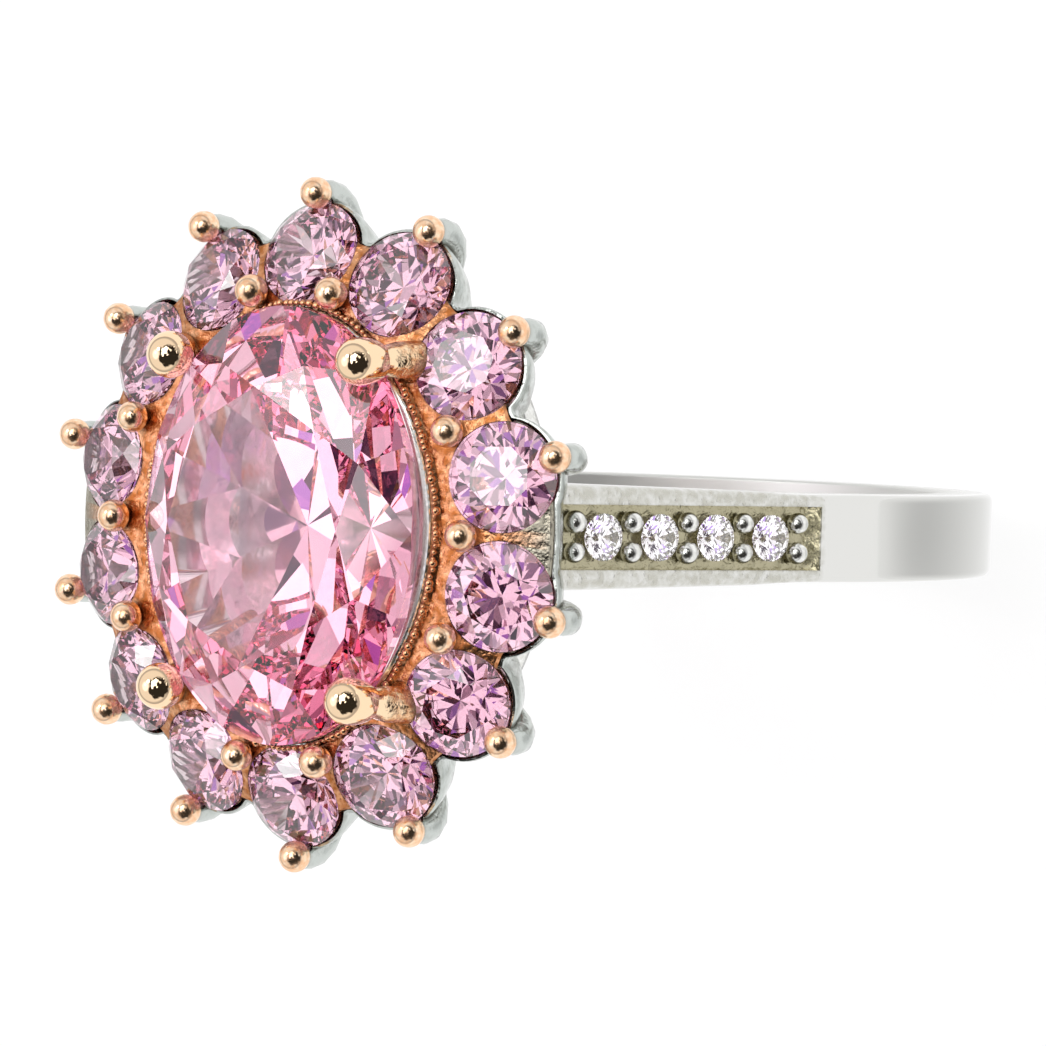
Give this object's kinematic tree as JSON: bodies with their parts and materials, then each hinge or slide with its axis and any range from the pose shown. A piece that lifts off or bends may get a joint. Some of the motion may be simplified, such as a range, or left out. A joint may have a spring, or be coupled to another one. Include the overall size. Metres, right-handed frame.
{
  "type": "halo cocktail ring",
  "caption": "Finger ring with a claw-set oval centre stone, a tilted halo of round stones and channel-set shoulders.",
  "frame": {"origin": "centre of the finger bore, in the middle of the band's width", "axes": "+Y along the finger bore, +Z from the bore centre to the head"},
  "size_m": [0.0216, 0.0192, 0.029],
  "materials": {
    "white_plate": "polished rhodium-plated silver",
    "rose_plate": "polished rose-gold plate",
    "pink_stone": "faceted pink cubic zirconia",
    "mauve_stone": "faceted mauve-pink cubic zirconia",
    "clear_stone": "faceted clear cubic zirconia"
  },
  "bodies": {
    "root": {"shank": "white_plate", "basket_cup": "white_plate", "gallery_rail": "white_plate", "halo_wall": "white_plate", "halo_tray": "rose_plate", "centre_seat": "white_plate", "main_claws": "rose_plate", "halo_claws": "rose_plate", "inner_beads": "rose_plate", "channel_beads_right": "white_plate", "channel_beads_left": "white_plate", "centre_stone": "pink_stone", "halo_stone_01": "mauve_stone", "halo_stone_02": "mauve_stone", "halo_stone_03": "mauve_stone", "halo_stone_04": "mauve_stone", "halo_stone_05": "mauve_stone", "halo_stone_06": "mauve_stone", "halo_stone_07": "mauve_stone", "halo_stone_08": "mauve_stone", "halo_stone_09": "mauve_stone", "halo_stone_10": "mauve_stone", "halo_stone_11": "mauve_stone", "halo_stone_12": "mauve_stone", "halo_stone_13": "mauve_stone", "halo_stone_14": "mauve_stone", "accent_right_1": "clear_stone", "accent_right_2": "clear_stone", "accent_right_3": "clear_stone", "accent_right_4": "clear_stone", "accent_left_1": "clear_stone", "accent_left_2": "clear_stone", "accent_left_3": "clear_stone", "accent_left_4": "clear_stone"}
  },
  "joints": []
}
